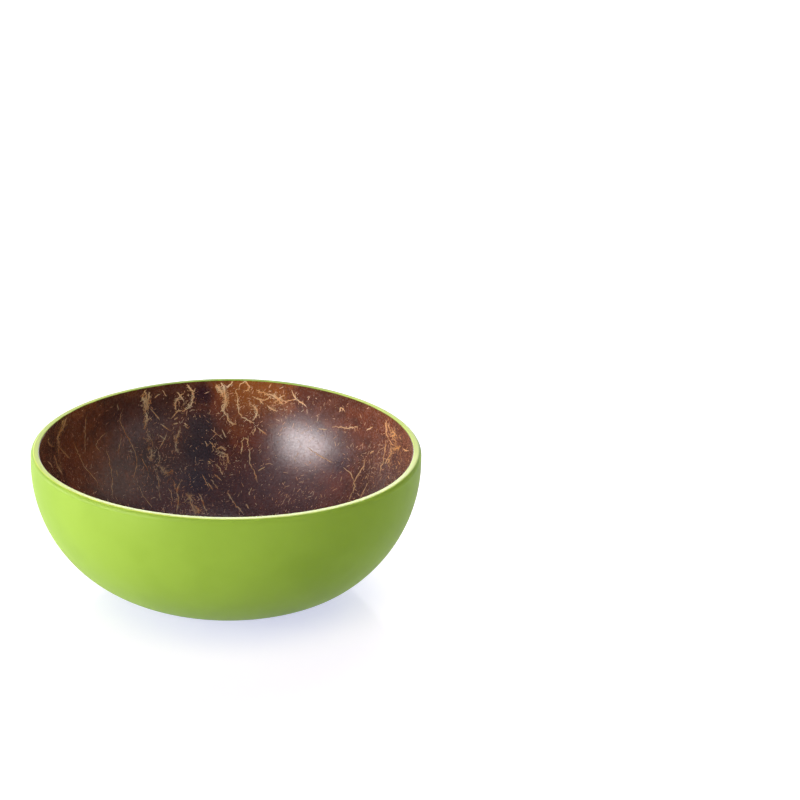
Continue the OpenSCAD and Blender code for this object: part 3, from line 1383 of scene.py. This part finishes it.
@dataclass
class Fibres:
    """The husk fibres and flecks that the scraped wall still shows."""

    wall: HollowWall
    bowl: Bowl
    seed: int = 41
    strand_seed: int = 11
    fleck_seed: int = 23
    step_px: float = 0.8
    waver_gain: float = 1.6
    waver_span: int = 7
    flatness: float = 0.3
    fine_end: float = 0.04 * MM
    taper_share: float = 0.2
    blunt_share: float = 0.1
    bare_edge: float = 1.5 * MM
    floor_fibres: int = 34
    floor_reach_mm: tuple[float, float] = (6, 30)
    floor_steps: tuple[int, int] = (18, 46)
    floor_step: float = 0.5 * MM
    floor_veer: float = 0.012
    thread_share: float = 0.6
    fleck_base: float = 0.2
    dusk_thins: float = 0.8

    def __post_init__(self) -> None:
        """Starts the fixed run of random numbers."""
        self.numbers = np.random.default_rng(self.seed)

    def smooth(self, pixels: Sequence[Pixel], waver: float) -> np.ndarray:
        """Draws a smooth, slightly wandering line through pixels.

        Args:
            pixels: The route.
            waver: How far the line wanders, in pixels.

        Returns:
            The line's points, one to a row.
        """
        route = np.array(pixels, float)
        padded = np.vstack((2 * route[0] - route[1], route, 2 * route[-1] - route[-2]))
        line = []
        for before, start, end, after in zip(padded, padded[1:], padded[2:], padded[3:]):
            slope = end - before
            bow = 2 * before - 5 * start + 4 * end - after
            twist = 3 * start - before - 3 * end + after
            count = max(2, int(np.linalg.norm(end - start) / self.step_px))
            for share in np.arange(count) / count:
                line.append(0.5 * (2 * start + slope * share + bow * share**2 + twist * share**3))
        line.append(route[-1])
        points = np.array(line)
        wander = self.numbers.normal(0.0, 1.0, points.shape)
        kernel = np.hanning(self.waver_span) / np.hanning(self.waver_span).sum()
        if len(points) > len(kernel):
            wander = np.stack([np.convolve(wander[:, axis], kernel, "same") for axis in (0, 1)], axis=1)
        return points + wander * waver * self.waver_gain

    def lay(self, routes: Iterable[Route], turn: float = 0.0) -> list[dict[str, np.ndarray]]:
        """Lays routes on the wall.

        Args:
            routes: The routes.
            turn: Angle about the nut's axis by which they are moved round the wall.

        Returns:
            The strands.
        """
        strands = []
        spin = Matrix.Rotation(turn, 3, "Z")
        for kind, pixels in routes:
            found = [self.wall.under(tuple(pixel)) for pixel in self.smooth(pixels, kind.waver)]
            found = [self.wall.nearest(spin @ spot[0]) for spot in found if spot is not None]
            if len(found) > 2:
                strands.append(self.strand(found, kind))
        return strands

    def strand(self, found: Sequence[tuple[Vector, Vector]], kind: FibreKind) -> dict[str, np.ndarray]:
        """Gives one laid route its widths.

        Args:
            found: The places along it, with the directions away from the wall.
            kind: How the fibre lies.

        Returns:
            Its points, directions, half widths, share and reach of its torn ends, fraying and stain.
        """
        share = np.linspace(0.0, 1.0, len(found))
        taper = np.minimum(1.0, np.minimum(share, 1 - share) / self.taper_share + self.blunt_share)
        draws = self.numbers.uniform(-1, 1, len(found) + 4)
        uneven = 1 + 0.5 * np.convolve(draws, np.full(5, 0.4), "valid")
        places = np.array([spot[0] for spot in found])
        return {
            "place": places,
            "wall_way": np.array([spot[1] for spot in found]),
            "half_width": np.maximum(self.fine_end, kind.width / 2 * taper * uneven),
            "spikes": np.full(len(found), kind.torn),
            "spike_reach": 0.4 + 0.6 * taper,
            "frayed": kind.frayed * taper,
            "bits": np.full(len(found), kind.bits),
            "stain": self.wall.patches(STAINED, places),
        }

    def wandering(self) -> list[dict[str, np.ndarray]]:
        """Grows fibres up from the floor, where the photograph doesn't look, and returns the strands."""
        form = self.wall.form
        strands = []
        for _ in range(self.floor_fibres):
            turn = self.numbers.uniform(0, math.tau)
            reach = self.numbers.uniform(*self.floor_reach_mm) * MM
            height = form.hollow_floor
            found = []
            for _ in range(int(self.numbers.integers(*self.floor_steps))):
                point = Vector((reach * math.cos(turn), reach * math.sin(turn), height))
                found.append(self.wall.nearest(point))
                reach += self.floor_step
                height += self.floor_step * (reach / form.half_w) ** 2
                turn += float(self.numbers.normal(0, self.floor_veer))
            kind = THREAD if self.numbers.uniform() < self.thread_share else VEIN
            strands.append(self.strand(found, kind))
        return strands

    @staticmethod
    def bed(name: str, strands: Sequence[Mapping[str, np.ndarray]]) -> bpy.types.Mesh:
        """Holds strands as bare edges for the tree to work on.

        Args:
            name: Name of the mesh.
            strands: The strands.

        Returns:
            The mesh.
        """
        edges = []
        first = 0
        for strand in strands:
            count = len(strand["place"])
            edges += [(first + i, first + i + 1) for i in range(count - 1)]
            first += count
        joined = {label: np.concatenate([strand[label] for strand in strands]) for label in strands[0]}
        mesh = bare_mesh(name, joined.pop("place").tolist(), edges, [])
        for label, values in joined.items():
            hold(mesh, label, values)
        return mesh

    def build_strands(self, finish: FibreFinish) -> None:
        """Builds the fibres that can be told apart, and their like on the wall's near side."""
        routes = [*LEFT_ROUTES.values(), *MIDDLE_ROUTES.values(), *RIGHT_ROUTES.values()]
        strands = self.lay(routes) + self.lay(routes, math.pi) + self.wandering()
        values = {
            "Flatness": self.flatness,
            "Wall Bend": 1 / self.wall.form.hollow_r,
            "Spike Spacing": 0.3 * MM,
            "Spike Length": 0.6 * MM,
            "Spike Width": 0.14 * MM,
            "Bit Spacing": 0.11 * MM,
            "Bit Length": 0.9 * MM,
            "Bit Width": 0.15 * MM,
            "Seed": self.strand_seed,
            "Finish": finish.material(),
        }
        mesh = StrandTree().grow("wall_fibres", self.bed("wall_fibre_routes", strands), values)
        self.bowl.add("wall_fibres", mesh, "shell")

    def build_flecks(self, finish: FibreFinish) -> None:
        """Scatters the flecks over the whole wall, thicker in some patches and thinner where it is dark."""
        base = bare_mesh("wall_bed", self.wall.points, [], self.wall.faces)
        points = np.array(self.wall.points)
        thick = self.fleck_base + self.wall.patches(FLECKED, points)
        thick *= 1 - self.dusk_thins * self.wall.patches(Tone.DUSK.value, points)
        thick *= np.clip((self.wall.top - points[:, 2]) / self.bare_edge - 1, 0, 1)
        hold(base, "flecks", thick)
        hold(base, "stain", self.wall.patches(STAINED, points))
        values = {
            "Density": 7.5e5,
            "Shortest": 0.25 * MM,
            "Longest": 2.6 * MM,
            "Width": 0.34 * MM,
            "Flatness": self.flatness,
            "Seed": self.fleck_seed,
            "Finish": finish.material(),
        }
        self.bowl.add("wall_flecks", FleckTree().grow("wall_flecks", base, values), "shell")


# The stage


@dataclass(frozen=True)
class SoftLamp:
    """A far soft light, by the direction it comes from, how wide it looks and how strongly it lights."""

    name: str
    azimuth: float
    elevation: float
    width: float
    level: float
    colour: Colour = (1.0, 1.0, 1.0)

    def add(self) -> None:
        """Adds the lamp to the scene."""
        data = bpy.data.lights.new(self.name, "SUN")
        data.angle = math.radians(self.width)
        data.energy = self.level * math.pi
        data.color = self.colour
        turn, rise = math.radians(self.azimuth), math.radians(self.elevation)
        level = math.cos(rise)
        way = Vector((math.sin(turn) * level, -math.cos(turn) * level, math.sin(rise)))
        lamp = stand(self.name, data)
        lamp.location = way
        lamp.rotation_euler = way.to_track_quat("Z", "Y").to_euler()


@dataclass(frozen=True)
class Stage:
    """A plain white table, soft lights, and a surround with bright walls behind, left and low on the right.

    A wall's span says how nearly a direction points to it, from where it starts to where it is full, and its
    top says over what rise it fades out.
    """

    floor_w: float = 14.0
    floor_drop: float = 0.05 * MM
    floor_shade: Colour = (0.6, 0.57, 0.54)
    # Painted shade: near the bowl's foot the floor's glow takes a dimmer, bluer colour, easing to the white
    # one further off.
    painted_shade_lift: Colour = (0.54, 0.55, 0.73)
    far_lift: Colour = (0.72, 0.71, 0.79)
    painted_shade_reach: Span = (36.0 * MM, 66.0 * MM)
    floor_roughness: float = 0.11
    floor_sheen: float = 0.06
    room: Colour = (0.3, 0.3, 0.3)
    upper: Colour = (0.05, 0.045, 0.06)
    upper_rise: Span = (0.05, 0.25)
    ceiling: Colour = (0.18, 0.16, 0.21)
    ceiling_rise: Span = (0.55, 0.9)
    window: Colour = (0.45, 0.38, 0.46)
    window_way: tuple[float, float, float] = (-0.75, -0.35, 0.56)
    window_span: Span = (0.7, 1.0)
    back: float = 3.0
    back_span: Span = (0.75, 0.95)
    back_top: Span = (0.45, 0.65)
    left: float = 8.5
    left_tint: Colour = (1.03, 0.95, 1.1)
    left_span: Span = (0.4, 0.9)
    left_top: Span = (0.1, 0.3)
    right: float = 7.5
    right_tint: Colour = (1.0, 1.0, 0.3)
    right_span: Span = (0.5, 0.9)
    right_top: Span = (0.04, 0.08)
    right_lean: float = 0.1
    lamps: tuple[SoftLamp, ...] = (
        SoftLamp("key_low", -55.0, 9.0, 33.0, 0.3, (1.05, 0.98, 1.0)),
        SoftLamp("key_high", -55.0, 19.0, 33.0, 0.3, (1.05, 0.98, 1.0)),
        SoftLamp("hair", 165.0, 55.0, 30.0, 0.2),
        SoftLamp("side", 88.0, 28.0, 36.0, 0.022, (1.3, 1.0, 0.8)),
        SoftLamp("fill", 60.0, 10.0, 100.0, 0.08),
    )

    def build(self) -> None:
        """Builds the floor, the surround and the lights."""
        self.build_floor()
        self.build_surround()
        for lamp in self.lamps:
            lamp.add()
        bpy.context.scene.view_settings.view_transform = "Standard"

    def build_floor(self) -> None:
        """Adds the floor, which takes the bowl's shadow, has a bluish shade painted round its foot, and is
        white further off.
        """
        half, level = self.floor_w / 2, -self.floor_drop
        corners = [(-half, -half, level), (half, -half, level), (half, half, level), (-half, half, level)]
        mesh = bare_mesh("floor", corners, [], [(0, 1, 2, 3)])
        paint = Paint("white_table")
        path = paint.node("ShaderNodeLightPath")
        seen = Wire(paint, path.outputs["Is Camera Ray"])
        for ray in ("Is Glossy Ray", "Is Transmission Ray"):
            seen = seen + Wire(paint, path.outputs[ray])
        away = paint.vectors("LENGTH", {0: paint.place()}, "Value")
        # Painted shade: the floor's glow is dimmed and blued round the bowl's foot, by distance from its
        # axis.
        glow_with_painted_shade = paint.mix(away.ease(*self.painted_shade_reach), self.painted_shade_lift, self.far_lift)
        glow_with_painted_shade = paint.mix(seen.ease(0.0, 1.0), (0.0, 0.0, 0.0), glow_with_painted_shade)
        paint.finish(
            {
                "Base Color": self.floor_shade,
                "Roughness": self.floor_roughness,
                "Specular IOR Level": self.floor_sheen,
                "Emission Color": glow_with_painted_shade,
                "Emission Strength": 1.0,
            }
        )
        mesh.materials.append(paint.material)
        floor = stand("floor", mesh)

    def build_surround(self) -> None:
        """Lights the scene from all round: a dim room, a soft ceiling and bright walls on three sides."""
        world = bpy.data.worlds.new("surround")
        world.use_nodes = True
        bpy.context.scene.world = world
        graph = Graph(world.node_tree)
        world.node_tree.nodes.clear()
        sky = graph.wire("ShaderNodeTexCoord", output="Generated")
        across, along, up = graph.parts(sky)
        back = along.ease(*self.back_span) * (1 - up.ease(*self.back_top))
        left = (-1 * across).ease(*self.left_span) * (1 - up.ease(*self.left_top))
        right = (across - along * self.right_lean).ease(*self.right_span) * (1 - up.ease(*self.right_top))
        room = graph.mix(up.ease(*self.upper_rise), self.room, self.upper)
        room = graph.mix(up.ease(*self.ceiling_rise), room, self.ceiling)
        near = graph.vectors("DOT_PRODUCT", {0: sky, 1: self.window_way}, "Value")
        room = graph.mix(near.ease(*self.window_span), room, self.window)
        dim = graph.wire("ShaderNodeBackground", None, {"Color": room, "Strength": 1.0})
        walls = back * self.back + left * self.left + right * self.right
        tint = graph.mix(right, graph.mix(left, (1.0, 1.0, 1.0), self.left_tint), self.right_tint)
        bright = graph.wire("ShaderNodeBackground", None, {"Color": tint, "Strength": walls})
        shade = graph.wire("ShaderNodeAddShader", None, {0: dim, 1: bright})
        graph.node("ShaderNodeOutputWorld", None, {"Surface": shade})


def main() -> None:
    """Builds the camera, the bowl, its fibres and the stage."""
    logging.basicConfig(level=logging.INFO, format="%(name)s: %(message)s")
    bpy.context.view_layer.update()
    form = NutForm()
    sight = Sight()
    sight.make_camera()
    wall = HollowWall(form, sight)
    bowl = Bowl(form, wall)
    bowl.build_shell(ShellFinish())
    bowl.build_ground(GroundFinish())
    bowl.build_lacquer(LacquerFinish(form.rim_h))
    fibres = Fibres(wall, bowl)
    fibres.build_strands(STRAW)
    fibres.build_flecks(CHAFF)
    Stage().build()
    for piece in bowl.pieces:
        LOG.info("%s: %d faces", piece.name, len(piece.data.polygons))


if __name__ == "__main__":
    main()
